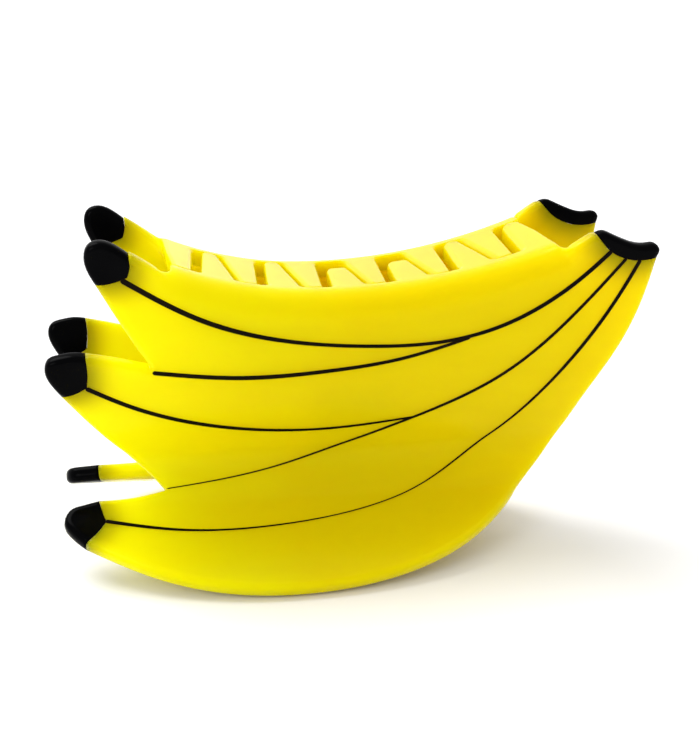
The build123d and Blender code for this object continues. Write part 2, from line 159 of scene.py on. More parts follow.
LINE_BODY = 0.5         # depth of its body in the sheet
SHOULDER_AT, SHOULDER = 0.55, 0.8   # its crown has this share of its height this far out
END_TAPER = 0.97        # how far its round ends close


# ---------------------------------------------------------------- bent profile
def bent(v):
    """Half depth, height and slope of a jaw's outer face at distance v down the sheet."""
    v = np.asarray(v, float)
    start, waist, flare = -LEAN_TOP, -LEAN_WAIST, FLARE
    r_plate, r_bend = PLATE_LEN / (waist - start), BEND_LEN / (flare - waist)
    plate = start + np.clip(v, 0, PLATE_LEN) / r_plate
    bend = waist + np.clip(v - PLATE_LEN, 0, BEND_LEN) / r_bend
    above, below = np.minimum(v, 0), np.maximum(v - PLATE_LEN - BEND_LEN, 0)
    half = TOP_HALF + math.sin(start) * above + r_plate * (math.cos(start) - np.cos(plate))
    half = half + r_bend * (math.cos(waist) - np.cos(bend)) + math.sin(flare) * below
    height = DATUM_Z - math.cos(start) * above - r_plate * (np.sin(plate) - math.sin(start))
    height = height - r_bend * (np.sin(bend) - math.sin(waist)) - math.cos(flare) * below
    return half, height, plate + bend - waist


V_TABLE = np.linspace(-12, 66, 3000)   # from above the tips to below the belly
_, HEIGHT_TABLE, SLOPE_TABLE = bent(V_TABLE)
# height of the comb's top when its bend is tangent to the plate at each v
BEND_TOP_TABLE = HEIGHT_TABLE - COMB_BEND_R * np.sin(SLOPE_TABLE) + COMB_BEND_R


def v_at(height):
    """Distance down the sheet where the outer face has this height."""
    return np.interp(-np.asarray(height), -HEIGHT_TABLE, V_TABLE)


def saddle(x, drop=0.0):
    """Height of the concave top edge at x, or of the surface parallel to it."""
    x = np.asarray(x, float)
    radius = np.where(x < SADDLE_X, SADDLE_R_TIPS, SADDLE_R_STEM) + drop
    return DATUM_Z + SADDLE_Z + radius - drop - np.sqrt(radius ** 2 - (x - SADDLE_X) ** 2)


def bend_start(x):
    """Where the comb's bend begins on the plate at x: v, its turn, and its centre's half depth and height."""
    v = np.interp(-saddle(x), -BEND_TOP_TABLE, V_TABLE)
    half, height, slope = bent(v)
    return v, math.pi / 2 - slope, half - COMB_BEND_R * np.cos(slope), height - COMB_BEND_R * np.sin(slope)


def smooth_step(t):
    """Eased 0 to 1, level at both ends."""
    return t * t * (3 - 2 * t)


def comb_share(x):
    """How much of the comb's bend the sheet has at x: 1 along the comb, 0 well past its ends."""
    past = np.maximum((COMB_X0 - x) / EASE_TIPS, (x - COMB_X1) / EASE_STEM)
    return smooth_step(1 - np.clip(past, 0, 1))


def comb_v(x, y):
    """Flat drawing v of the comb's point (x, y), y towards the other jaw."""
    v, turn, centre_half, _ = bend_start(x)
    return v - COMB_BEND_R * turn - (y + centre_half)


def on_sheet(u, v, depth):
    """Point of the front jaw, depth inwards from its outer face, in millimetres."""
    u, v = np.asarray(u, float), np.asarray(v, float)
    half, height, slope = bent(v)
    y, z = -half + depth * np.cos(slope), height - depth * np.sin(slope)
    start, turn, centre_half, centre_z = bend_start(u)
    run = np.clip((start - v) / COMB_BEND_R, 0, turn)
    angle = math.pi / 2 + turn - run
    flat = np.maximum(start - v - COMB_BEND_R * turn, 0)
    settle = (saddle(u, depth) - saddle(u) + depth) * run / turn
    comb_y = -centre_half + (COMB_BEND_R - depth) * np.cos(angle) + flat
    comb_z = centre_z + (COMB_BEND_R - depth) * np.sin(angle) + settle
    comb_z = np.where(flat > 0, saddle(u, depth), comb_z)
    share = np.where(v < start, comb_share(u), 0)
    return np.stack([u, y + (comb_y - y) * share, z + (comb_z - z) * share], -1)


# ---------------------------------------------------------------- flat outlines
def lengths_along(points):
    """Length along a line up to each of its points."""
    return np.concatenate([[0], np.cumsum(np.hypot(*np.diff(points, axis=0).T))])


def points_at(points, lengths, at):
    """Points of a line at some lengths along it."""
    return np.stack([np.interp(at, lengths, points[:, 0]), np.interp(at, lengths, points[:, 1])], -1)


def spline(points, step=STEP):
    """Natural cubic spline through the points, evenly stepped, both ends kept."""
    p = np.array(points, float)
    t = lengths_along(p)
    h, n = np.diff(t), len(p)
    matrix, right = np.eye(n), np.zeros((n, 2))
    for i in range(1, n - 1):
        matrix[i, i - 1:i + 2] = h[i - 1], 2 * (h[i - 1] + h[i]), h[i]
        right[i] = 6 * ((p[i + 1] - p[i]) / h[i] - (p[i] - p[i - 1]) / h[i - 1])
    curve = np.linalg.solve(matrix, right)
    s = np.linspace(0, t[-1], max(2, round(t[-1] / step) + 1))
    k = np.clip(np.searchsorted(t, s, side="right") - 1, 0, n - 2)
    a, b, hk = (t[k + 1] - s)[:, None], (s - t[k])[:, None], h[k][:, None]
    straight = (a * p[k] + b * p[k + 1]) / hk
    return straight + (a ** 3 / hk - a * hk) * curve[k] / 6 + (b ** 3 / hk - b * hk) * curve[k + 1] / 6


def outline_run(points, step=STEP):
    """Free edge through flat drawing points, smooth as seen from the front."""
    seen = [(u, float(bent(v)[1])) for u, v in points]
    run = spline(seen, step)
    return np.stack([run[:, 0], v_at(run[:, 1])], -1)


def seam_runs(name):
    """Cut between yellow and black, in runs between its corners, with wide steps at its two ends."""
    runs = []
    last = len(SEAMS[name]) - 1
    for k, points in enumerate(SEAMS[name]):
        fine = outline_run(points, FINE_STEP)
        s = lengths_along(fine)
        low = SEAM_START if k == 0 else STEP
        high = s[-1] - (SEAM_START if k == last else STEP)
        at = np.concatenate([[0], np.linspace(low, high, max(2, round((high - low) / STEP) + 1)), [s[-1]]])
        runs.append(points_at(fine, s, at))
    return runs


def top_edge(comb_end, far_end):
    """Free top edge from an end of the comb to the black beyond it."""
    x = np.linspace(comb_end, far_end, round(abs(far_end - comb_end) / STEP) + 1)
    start, turn, _, _ = bend_start(x)
    curled = start - COMB_BEND_R * turn * EDGE_TURN
    upright = v_at(saddle(x)) + EDGE_DROP * smooth_step(np.linspace(1, 0, len(x)))
    return np.stack([x, upright + (curled - upright) * comb_share(x)], -1)


def straight_run(a, b):
    """Straight line between two points, stepped."""
    a, b = np.array(a, float), np.array(b, float)
    count = max(2, round(np.hypot(*(b - a)) / COMB_STEP) + 1)
    return a + (b - a) * np.linspace(0, 1, count)[:, None]


def flat_comb(run):
    """Flat drawing points of a run on the comb's plan."""
    return np.stack([run[:, 0], comb_v(run[:, 0], run[:, 1])], -1)


def comb_plan(side):
    """Plan corners of a comb from its stem end to its tip end, y towards the other jaw."""
    x_stem, x_tip = COMB_X1, COMB_X0
    teeth = FRONT_TEETH if side == "front" else REAR_TEETH
    root, tip = TOOTH_ROOT / 2, TOOTH_TIP / 2
    if side == "front":
        beside = REAR_TEETH[-1] + END_TOOTH_GAP
        plan = [(x_stem, 0), (x_stem - END_TOOTH_TAPER, TIP_Y),
                (beside + root, TIP_Y), (beside + tip, -ROOT_Y)]
    else:
        plan = [(x_stem, -ROOT_Y)]
    for k in reversed(range(len(teeth))):
        x = teeth[k]
        y = SHORT_TIP_Y if side == "front" and k in SHORT_FRONT else TIP_Y
        half = root + (tip - root) * (y + ROOT_Y) / (TIP_Y + ROOT_Y)
        plan += [(x + root, -ROOT_Y), (x + half, y), (x - half, y), (x - root, -ROOT_Y)]
    if side == "front":
        plan += [(x_tip, -ROOT_Y)]
    else:
        beside = FRONT_TEETH[0] - END_TOOTH_GAP
        plan += [(beside - tip, -ROOT_Y), (beside - root, TIP_Y),
                 (x_tip + END_TOOTH_TAPER, TIP_Y), (x_tip, 0)]
    return plan


def comb_runs(side):
    """Outline runs of the top edge with its comb, from the stem to the tip, for joined()."""
    plan = comb_plan(side)
    stem_edge, tip_edge = top_edge(COMB_X1, STEM_TOP[-1][0])[::-1], top_edge(COMB_X0, TIP_TOP[0][0])
    comb = []
    for a, b in zip(plan, plan[1:]):
        closed = a[1] == b[1] and abs(a[1]) >= TIP_Y
        comb.append((flat_comb(straight_run(a, b)), CLOSED_RIM if closed else COMB_RIM, CORNER))
    stem_side = (straight_run(stem_edge[-1], comb[0][0][0]), COMB_RIM, CORNER)
    tip_side = (straight_run(comb[-1][0][-1], tip_edge[0]), COMB_RIM, CORNER)
    return [(stem_edge, RIM, CORNER), stem_side] + comb + [tip_side, (tip_edge, RIM, 0)]


def joined(runs):
    """Closed loop from runs of (points, rounding, cut corner length at its end or 0 for a sharp corner).
    Gives points, roundings before and after each point, and which points are sharp."""
    trimmed = []
    for i, (points, _, cut) in enumerate(runs):
        s = lengths_along(points)
        most = s[-1] * CORNER_SHARE
        lo, hi = min(runs[i - 1][2], most), s[-1] - min(cut, most)
        keep = (s > lo + LEAST_STEP) & (s < hi - LEAST_STEP)
        trimmed.append(points_at(points, s, np.concatenate([[lo], s[keep], [hi]])))
    rows = []
    for i, (points, rim, cut) in enumerate(runs):
        after, next_rim = trimmed[(i + 1) % len(runs)], runs[(i + 1) % len(runs)][1]
        body = trimmed[i][:-1] if cut == 0 else trimmed[i]
        body = body[1:] if runs[i - 1][2] == 0 else body
        rows += [(point, rim, rim, False) for point in body]
        if cut == 0:
            rows.append((points[-1], rim, next_rim, True))
            continue
        a, corner, b = trimmed[i][-1], points[-1], after[0]
        count = max(3, round(np.hypot(*(b - a)) / CORNER_STEP))
        for k in range(1, count):
            t = k / count
            mixed = rim + (next_rim - rim) * t
            rows.append((a * (1 - t) ** 2 + corner * 2 * t * (1 - t) + b * t ** 2, mixed, mixed, False))
    return tuple(np.array(column) for column in zip(*rows))


def inset(loop, before, after, sharp):
    """Loop moved inwards (to its left) by a distance before and after each point."""
    e_in = loop - np.roll(loop, 1, 0)
    e_out = np.roll(loop, -1, 0) - loop
    e_in /= np.hypot(*e_in.T)[:, None]
    e_out /= np.hypot(*e_out.T)[:, None]
    n_in = np.stack([-e_in[:, 1], e_in[:, 0]], -1)
    n_out = np.stack([-e_out[:, 1], e_out[:, 0]], -1)
    mean = n_in + n_out
    mean /= np.hypot(*mean.T)[:, None]
    moved = loop + mean * ((before + after) / 2)[:, None]
    turn = e_in[:, 0] * e_out[:, 1] - e_in[:, 1] * e_out[:, 0]
    for i in np.nonzero(sharp & (np.abs(turn) > SHARP_TURN))[0]:
        normals = np.array([n_in[i], n_out[i]])
        moved[i] = loop[i] + np.linalg.solve(normals, [before[i], after[i]])
    return moved


# ---------------------------------------------------------------- sheet meshes
def inside(points, loop):
    """Which points lie inside the loop."""
    a, b = loop, np.roll(loop, -1, 0)
    result = np.zeros(len(points), bool)
    for (x0, y0), (x1, y1) in zip(a, b):
        crosses = (points[:, 1] < y0) != (points[:, 1] < y1)
        with np.errstate(divide="ignore", invalid="ignore"):
            at = x0 + (points[:, 1] - y0) * (x1 - x0) / (y1 - y0)
        result ^= crosses & (points[:, 0] < at)
    return result


def nearest(points, targets):
    """Distance from each point to the nearest target."""
    best = np.full(len(points), np.inf)
    for chunk in np.array_split(targets, max(1, len(targets) // CHUNK)):
        d = np.hypot(points[:, None, 0] - chunk[None, :, 0], points[:, None, 1] - chunk[None, :, 1])
        best = np.minimum(best, d.min(1))
    return best


def inner_points(loop, grid):
    """Evenly spread points inside a loop, in rows that follow the top edge's bend."""
    lo, hi = loop.min(0), loop.max(0)
    rows = []
    for k, u in enumerate(np.arange(lo[0], hi[0], grid * ROW)):
        start = float(bend_start(np.clip(u, COMB_X0, COMB_X1))[0])
        shift = (k % 2) * grid / 2
        down = start + np.arange(0, hi[1] - start + grid, grid) + shift
        up = start - np.arange(BEND_OFFSET, start - lo[1] + grid, grid * BEND_ROW) - shift * BEND_ROW
        in_bend = down[(down > PLATE_LEN - grid) & (down < PLATE_LEN + BEND_LEN)] + grid / 2
        rows += [(u, v) for v in np.concatenate([down, up, in_bend])]
    points = np.array(rows)
    points = points[inside(points, loop)]
    return points[nearest(points, loop) > CLEAR]


def fill(loop, grid):
    """Triangles that fill a loop: the points, loop first, and the faces."""
    points = np.concatenate([loop, inner_points(loop, grid)])
    flat, ring = [Vector(p) for p in points], list(range(len(loop)))
    _, _, faces, origin, _, _ = delaunay_2d_cdt(flat, [], [ring], KEEP_INSIDE, SAME_POINT)
    index = {new: old[0] for new, old in enumerate(origin) if old}
    kept = [tuple(index[i] for i in f) for f in faces if all(i in index for i in f)]
    return points, kept


def signed_area(loop):
    """Area inside a loop, positive when it runs anticlockwise."""
    x, y = loop.T
    return 0.5 * np.sum(x * np.roll(y, -1) - y * np.roll(x, -1))


def rounded_rings(loop, before, after, sharp):
    """Rings from a sheet's edge up its rounding and onto its face, and the depths of their points."""
    gap_in, gap_out = (np.where(rim <= SEAM_RIM, SEAM_GAP, 0) for rim in (before, after))
    bigger = np.maximum(before, after)
    rings, depths = [], []
    for angle in np.linspace(0, math.pi / 2, ROUND_STEPS):
        out = 1 - math.cos(angle)
        rings.append(inset(loop, before * out + gap_in, after * out + gap_out, sharp))
        depths.append(bigger * (1 - math.sin(angle)))
    rings.append(inset(loop, before + SOFT_EDGE + gap_in, after + SOFT_EDGE + gap_out, sharp))
    depths.append(bigger * 0)
    return rings, depths


def sheet_faces(count, levels, extra, triangles):
    """Faces of a sheet: count points in each ring, some levels of rings, and extra points in each face."""
    half = count * levels + extra
    faces = []
    for side, base in ((0, 0), (1, half)):
        for r in range(levels - 1):
            for i in range(count):
                j = (i + 1) % count
                a, b = base + r * count, base + (r + 1) * count
                quad = (a + i, a + j, b + j, b + i)
                faces.append(quad if side == 0 else quad[::-1])
        top = base + (levels - 1) * count
        for tri in triangles:
            ids = [top + i if i < count else base + levels * count + i - count for i in tri]
            faces.append(tuple(ids) if side == 0 else tuple(ids[::-1]))
    for i in range(count):
        j = (i + 1) % count
        faces.append((i, half + i, half + j, j))
    return faces


def sheet_mesh(name, runs, mirrored, grid=GRID):
    """Closed mesh of a flat outline with rounded rims, laid on the bent sheet, and its flat points."""
    loop, before, after, sharp = joined(runs)
    if signed_area(loop) < 0:
        loop, before, after, sharp = loop[::-1], after[::-1], before[::-1], sharp[::-1]
    rings, depths = rounded_rings(loop, before, after, sharp)
    face, triangles = fill(rings[-1], grid)
    extra = face[len(loop):]
    coords, flats = [], []
    for outer in (True, False):
        for ring, depth in zip(rings, depths):
            coords.append(on_sheet(ring[:, 0], ring[:, 1], depth if outer else SHEET - depth))
            flats.append(ring)
        coords.append(on_sheet(extra[:, 0], extra[:, 1], 0.0 if outer else SHEET))
        flats.append(extra)
    coords = np.concatenate(coords)
    faces = sheet_faces(len(loop), len(rings), len(extra), triangles)
    if mirrored:
        coords = coords * MIRROR
    return make_object(name, coords * MM, faces, flip=mirrored), np.concatenate(flats)


def make_object(name, coords, faces, flip=False):
    """Smooth mesh object, its faces turned outwards."""
    mesh = bpy.data.meshes.new(name)
    mesh.from_pydata([tuple(c) for c in coords], [], [f[::-1] for f in faces] if flip else faces)
    mesh.validate()
    if signed_volume(mesh) < 0:
        mesh.flip_normals()
    for polygon in mesh.polygons:
        polygon.use_smooth = True
    mesh.update()
    piece = bpy.data.objects.new(name, mesh)
    bpy.context.scene.collection.objects.link(piece)
    return piece


def signed_volume(mesh):
    """Volume inside a closed mesh, negative when its faces look inwards."""
    mesh.calc_loop_triangles()
    co = np.empty(len(mesh.vertices) * 3)
    mesh.vertices.foreach_get("co", co)
    co = co.reshape(-1, 3)
    tri = np.empty(len(mesh.loop_triangles) * 3, int)
    mesh.loop_triangles.foreach_get("vertices", tri)
    a, b, c = (co[tri[i::3]] for i in range(3))
    return np.sum(np.einsum("ij,ij->i", a, np.cross(b, c))) / 6


def yellow_runs(side):
    """Outline of a jaw's yellow sheet."""
    seams = {name: [(run, SEAM_RIM, 0) for run in seam_runs(name)] for name in SEAMS}
    runs = seams["tip_top"]
    runs += [(outline_run(SIDE_TOP), RIM, NOTCH_CORNER), (outline_run(TIP_MIDDLE_UP), RIM, 0)]
    runs += seams["tip_middle"]
    runs += [(outline_run(SIDE_MIDDLE), RIM, NOTCH_CORNER), (outline_run(TIP_LOWER_UP), RIM, 0)]
    runs += seams["tip_lower"] + [(outline_run(BELLY), RIM, 0)] + seams["stem_cap"]
    return runs + comb_runs(side)


def build_jaw(side, body):
    """Yellow sheet, black ends and inlaid lines of one jaw."""
    mirrored = side == "rear"
    pieces = {}
    yellow, flats = sheet_mesh(f"{side}_jaw_sheet", yellow_runs(side), mirrored)
    seams = np.concatenate([outline_run(run, SEAM_STEP) for parts in SEAMS.values() for run in parts])
    # painted shade: the yellow is darkened near each seam with black
    shade = np.exp(-(nearest(flats, seams) / NEAR_BLACK_SHADE_REACH) ** 2)
    layer = yellow.data.attributes.new("near_black_shade", "FLOAT", "POINT")
    layer.data.foreach_set("value", shade.astype(np.float32))
    pieces["jaw"] = yellow
    for name, ends in ENDS.items():
        runs = [(outline_run(points, END_STEP), RIM, CORNER) for points in ends]
        runs[-1] = (runs[-1][0], RIM, 0)
        runs += [(run[::-1], SEAM_RIM, 0) for run in reversed(seam_runs(name))]
        pieces[name], _ = sheet_mesh(f"{side}_{name}_acetate", runs, mirrored, grid=END_GRID)
    for name in LINES:
        pieces[name] = line_piece(f"{side}_{name}_inlay", name, mirrored)
    for node, piece in pieces.items():
        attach(piece, body)
        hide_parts(f"{side}_{node}")
        slot = "acetate_yellow" if node == "jaw" else "line_black" if node in LINES else "acetate_black"
        piece.data.materials.append(MATERIALS[slot])


def line_piece(name, line, mirrored):
    """Inlaid line: a ribbon with a low crown, let into the outer face."""
    points, widths = LINES[line]
    centre = spline(points, LINE_STEP)
    along = np.gradient(centre, axis=0)
    along /= np.hypot(*along.T)[:, None]
    across = np.stack([-along[:, 1], along[:, 0]], -1)
    t = np.linspace(0, 1, len(centre))
    half = np.interp(t, np.linspace(0, 1, len(widths)), widths) / 2
    order = np.arange(len(centre))
    from_end = LINE_STEP * np.minimum(order, order[::-1])
    half *= np.sqrt(1 - np.clip(1 - from_end / half, 0, END_TAPER) ** 2)
    rise = [(1, -LINE_BODY), (1, LINE_SIDE), (SHOULDER_AT, LINE_CROWN * SHOULDER)]
    section = [(-x, -up) for x, up in rise] + [(0, -LINE_CROWN)] + [(x, -up) for x, up in reversed(rise)]
    coords = []
    for side, depth in section:
        p = centre + across * (half * side)[:, None]
        coords.append(on_sheet(p[:, 0], p[:, 1], depth))
    rows, count = len(section), len(centre)
    coords = np.concatenate(coords)
    faces = []
    for r in range(rows):
        q = (r + 1) % rows
        for i in range(count - 1):
            faces.append((r * count + i, r * count + i + 1, q * count + i + 1, q * count + i))
    faces.append(tuple(r * count for r in range(rows)))
    faces.append(tuple(r * count + count - 1 for r in reversed(range(rows))))
    if mirrored:
        coords = coords * MIRROR
    return make_object(name, coords * MM, faces)


# ---------------------------------------------------------------- hinge
WIRE_D, COIL_R, COIL_TURNS, COIL_PITCH = 0.7, 2.1, 6, 0.9
LEG_PAST, LEG_GAP = 1.5, 0.15     # leg beyond its bearing point, and its clearance from the handle
COIL_STEP = 0.16                  # turn between points of the coil, radians
LEG_STEPS = 14                    # points along a leg
WIRE_SIDES = 16
CAP_SIZE, CAP_RISE = 0.72, 0.25   # the wire's cut ends, in radii


def spring_path():
    """Centre line of the torsion spring: leg, coil, leg."""
    half, height, slope = (float(x) for x in bent(PLATE_LEN + BEND_LEN))
    depth = SHEET + WIRE_D / 2 + LEG_GAP
    touch_y, touch_z = -half + depth * math.cos(slope), height - depth * math.sin(slope) - PIVOT_Z
    reach = math.hypot(touch_y, touch_z)
    bearing = math.atan2(touch_z, touch_y) + math.pi / 2 - math.asin(COIL_R / reach)
    turn = (math.pi - 2 * bearing) % (2 * math.pi) + 2 * math.pi * (COIL_TURNS - 1)
    length = COIL_PITCH * turn / (2 * math.pi)
    t = np.linspace(0, 1, round(turn / COIL_STEP))
    angle = bearing + turn * t
    coil = np.stack([-length / 2 + length * t, COIL_R * np.cos(angle), COIL_R * np.sin(angle)], -1)
    legs = []
    for side, root in ((1, coil[0]), (-1, coil[-1])):
        run = np.array([root[0], side * touch_y, touch_z]) - root
        size = np.linalg.norm(run)
        legs.append(root + run * (size + LEG_PAST) / size)
    steps = np.linspace(0, 1, LEG_STEPS)[:, None]
    first = legs[0] + (coil[0] - legs[0]) * steps[:-1]
    last = coil[-1] + (legs[1] - coil[-1]) * steps[1:]
    return np.concatenate([first, coil, last]) + np.array([0, 0, PIVOT_Z]), length


def tube(name, path, radius):
    """Round wire along a path, its ends slightly rounded."""
    along = np.gradient(path, axis=0)
    along /= np.linalg.norm(along, axis=1)[:, None]
    normal = np.cross(along[0], [1, 0, 0])
    rings = []
    for i, tangent in enumerate(along):
        normal = normal - tangent * np.dot(normal, tangent)
        normal /= np.linalg.norm(normal)
        other = np.cross(tangent, normal)
        angle = np.linspace(0, 2 * math.pi, WIRE_SIDES, endpoint=False)[:, None]
        rings.append(path[i] + radius * (np.cos(angle) * normal + np.sin(angle) * other))
    caps = [path[end] + (rings[end] - path[end]) * CAP_SIZE + along[end] * sign * radius * CAP_RISE
            for end, sign in ((0, -1), (-1, 1))]
    rings = [caps[0]] + rings + [caps[1]]
    coords, sides = np.concatenate(rings), WIRE_SIDES
    faces = [tuple(range(sides))[::-1], tuple(len(coords) - sides + k for k in range(sides))]
    for r in range(len(rings) - 1):
        for k in range(sides):
            m = (k + 1) % sides
            faces.append((r * sides + k, r * sides + m, (r + 1) * sides + m, (r + 1) * sides + k))
    return make_object(name, coords * MM, faces)


def build_hinge():
    """Spring wound round the pin, with its legs on different jaws; CAD brackets and pin get their steel."""
    path, length = spring_path()
    spring = tube("torsion_spring_wire", path, WIRE_D / 2)
    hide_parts("torsion_spring")
    spring.data.materials.append(MATERIALS["spring_steel"])
    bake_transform(spring)
    for node, slot in (("front_hinge_bracket", "hinge_steel"), ("rear_hinge_bracket", "hinge_steel"),
                       ("hinge_pin", "pin_steel")):
        mesh = frame["nodes"][node].data
        mesh.materials.clear()
        mesh.materials.append(MATERIALS[slot])


# ---------------------------------------------------------------- materials
# Noise scales are per metre, with the detail after them; ramp stops are (position, colour).
ACETATE_IOR = 1.48
PAINTED_LIGHT_HALF_LENGTH = 0.05                # painted light and shade: the yellow goes from lemon at the tips to a darker golden towards the stem over this far each side of the middle, metres
CLOUD = 0.5                       # how far the cloudiness shifts that painted light and shade, as a share of it
STREAKS = 0.6                     # strength of the pigment streaks
NEAR_BLACK_SHADE = 0.85                 # strength of the painted shade beside black
# olive colour of the painted shade beside black
NEAR_BLACK_SHADE_COLOUR = (0.30, 0.27, 0.003, 1)
STAIN = 0.72                      # how bright stained steel is, as a share of clean steel


def new_material(name):
    material = bpy.data.materials.new(name)
    material.use_nodes = True
    tree = material.node_tree
    return material, tree, tree.nodes["Principled BSDF"]


def add(tree, kind, **values):
    """Adds a node and sets its properties or inputs."""
    node = tree.nodes.new(kind)
    for key, value in values.items():
        if hasattr(node, key):
            setattr(node, key, value)
        else:
            node.inputs[key.replace("_", " ")].default_value = value
    return node


def ramp(tree, source, stops):
    """Colour ramp fed by a socket."""
    node = tree.nodes.new("ShaderNodeValToRGB")
    for k, (at, colour) in enumerate(stops):
        stop = node.color_ramp.elements[k] if k < 2 else node.color_ramp.elements.new(at)
        stop.position = at
        stop.color = (*colour, 1) if len(colour) == 3 else (colour[0],) * 3 + (1,)
    tree.links.new(source, node.inputs["Fac"])
    return node.outputs["Color"]


def noise(tree, coords, scale, detail=3.0, roughness=0.5):
    node = add(tree, "ShaderNodeTexNoise", Scale=scale, Detail=detail, Roughness=roughness)
    tree.links.new(coords, node.inputs["Vector"])
    return node.outputs["Fac"]


def stretched(tree, coords, scale):
    """Coordinates scaled unevenly, for marks that run one way."""
    node = add(tree, "ShaderNodeMapping")
    node.inputs["Scale"].default_value = scale
    tree.links.new(coords, node.inputs["Vector"])
    return node.outputs["Vector"]


def bump(tree, shader, heights):
    """Chain of bumps: (socket, strength, distance in metres)."""
    previous = None
    for source, strength, distance in heights:
        node = add(tree, "ShaderNodeBump", Strength=strength, Distance=distance)
        tree.links.new(source, node.inputs["Height"])
        if previous:
            tree.links.new(previous, node.inputs["Normal"])
        previous = node.outputs["Normal"]
    tree.links.new(previous, shader.inputs["Normal"])


def object_coords(tree):
    return add(tree, "ShaderNodeTexCoord").outputs["Object"]


def polish(tree, shader, coords, low, high):
    """Roughness that varies with hand polishing, and faint scratches in two directions."""
    level = ramp(tree, noise(tree, coords, 220, 4), [(0.35, (low,)), (0.7, (high,))])
    tree.links.new(level, shader.inputs["Roughness"])
    swirl = noise(tree, coords, 45, 2)
    scratch_a = noise(tree, stretched(tree, coords, (60, 900, 2600)), 1.0, 2)
    scratch_b = noise(tree, stretched(tree, coords, (1800, 300, 90)), 1.0, 2)
    bump(tree, shader, [(swirl, 0.35, 0.00012), (scratch_a, 0.05, 0.00002), (scratch_b, 0.05, 0.00002)])


def yellow_acetate():
    """Translucent banana-yellow acetate, cloudy with pigment, with painted shade beside black and painted
    light and shade running from lemon tips to a darker golden stem end.
    """
    material, tree, shader = new_material("acetate_yellow")
    coords = object_coords(tree)
    place = add(tree, "ShaderNodeSeparateXYZ")
    tree.links.new(coords, place.inputs["Vector"])
    along = add(tree, "ShaderNodeMapRange")
    along.inputs["From Min"].default_value, along.inputs["From Max"].default_value = -PAINTED_LIGHT_HALF_LENGTH, PAINTED_LIGHT_HALF_LENGTH
    tree.links.new(place.outputs["X"], along.inputs["Value"])
    cloudy = add(tree, "ShaderNodeMath", operation="MULTIPLY_ADD")
    cloudy.inputs[1].default_value, cloudy.inputs[2].default_value = CLOUD, -CLOUD / 2
    tree.links.new(noise(tree, stretched(tree, coords, (18, 40, 30)), 1.0, 3), cloudy.inputs[0])
    where = add(tree, "ShaderNodeMath", operation="ADD")
    tree.links.new(along.outputs["Result"], where.inputs[0])
    tree.links.new(cloudy.outputs["Value"], where.inputs[1])
    # painted light and shade, lemon at the tips and darker golden towards the stem, shifted by the pigment's
    # real cloudiness
    cloud_and_painted_light = ramp(tree, where.outputs["Value"],
                 [(0.05, (0.80, 0.75, 0.002)), (0.4, (0.78, 0.59, 0.001)), (0.9, (0.75, 0.58, 0.001))])
    flow = ramp(tree, noise(tree, stretched(tree, coords, (60, 200, 260)), 1.0, 4),
                [(0.3, (1.0, 1.0, 1.0)), (0.75, (0.95, 0.94, 0.9))])
    streaked = add(tree, "ShaderNodeMix", data_type="RGBA", blend_type="MULTIPLY")
    streaked.inputs["Factor"].default_value = STREAKS
    tree.links.new(cloud_and_painted_light, streaked.inputs["A"])
    tree.links.new(flow, streaked.inputs["B"])
    # painted shade: olive darkening beside black, in place of light lost into the black pieces
    near = add(tree, "ShaderNodeAttribute", attribute_name="near_black_shade")
    shade = add(tree, "ShaderNodeMix", data_type="RGBA")
    strength = add(tree, "ShaderNodeMath", operation="MULTIPLY")
    strength.inputs[1].default_value = NEAR_BLACK_SHADE
    tree.links.new(near.outputs["Fac"], strength.inputs[0])
    tree.links.new(strength.outputs["Value"], shade.inputs["Factor"])
    tree.links.new(streaked.outputs["Result"], shade.inputs["A"])
    shade.inputs["B"].default_value = NEAR_BLACK_SHADE_COLOUR
    tree.links.new(shade.outputs["Result"], shader.inputs["Base Color"])
    polish(tree, shader, coords, 0.10, 0.20)
    shader.inputs["IOR"].default_value = ACETATE_IOR
    shader.inputs["Specular IOR Level"].default_value = 0.18
    shader.inputs["Specular Tint"].default_value = (1.0, 0.9, 0.1, 1)
    shader.inputs["Subsurface Weight"].default_value = 0.9
    shader.inputs["Subsurface Radius"].default_value = (1.0, 0.8, 0.04)
    shader.inputs["Subsurface Scale"].default_value = 0.009
    return material


def black_acetate():
    """Deep glossy black acetate with a clear polish."""
    material, tree, shader = new_material("acetate_black")
    coords = object_coords(tree)
    depth = ramp(tree, noise(tree, coords, 120, 3),
                 [(0.3, (0.0006, 0.0006, 0.0008)), (0.8, (0.002, 0.002, 0.0024))])
    tree.links.new(depth, shader.inputs["Base Color"])
    polish(tree, shader, coords, 0.09, 0.22)
    shader.inputs["IOR"].default_value = ACETATE_IOR
    shader.inputs["Specular IOR Level"].default_value = 0.02
    return material


def line_paint():
    """Black filling paint of the lines, thin enough to turn brown in places."""
    material, tree, shader = new_material("line_black")
    coords = object_coords(tree)
    tint = ramp(tree, noise(tree, coords, 60, 3),
                [(0.35, (0.001, 0.0008, 0.0008)), (0.75, (0.008, 0.004, 0.001))])
    tree.links.new(tint, shader.inputs["Base Color"])
    level = ramp(tree, noise(tree, coords, 500, 3), [(0.3, (0.3,)), (0.7, (0.48,))])
    tree.links.new(level, shader.inputs["Roughness"])
    bump(tree, shader, [(noise(tree, coords, 1400, 2), 0.3, 0.00003)])
    shader.inputs["Specular IOR Level"].default_value = 0.03
    return material


def brushed_steel(name, colour, low, high, grain):
    """Bare steel with its grain along one direction and a little staining."""
    material, tree, shader = new_material(name)
    coords = object_coords(tree)
    lines = noise(tree, stretched(tree, coords, grain), 1.0, 4, 0.6)
    stain = noise(tree, coords, 300, 3)
    dark = tuple(c * STAIN for c in colour)
    tree.links.new(ramp(tree, stain, [(0.35, dark), (0.65, colour)]), shader.inputs["Base Color"])
    tree.links.new(ramp(tree, lines, [(0.3, (low,)), (0.7, (high,))]), shader.inputs["Roughness"])
    bump(tree, shader, [(lines, 0.35, 0.00003), (stain, 0.1, 0.00003)])
    shader.inputs["Metallic"].default_value = 1.0
    return material


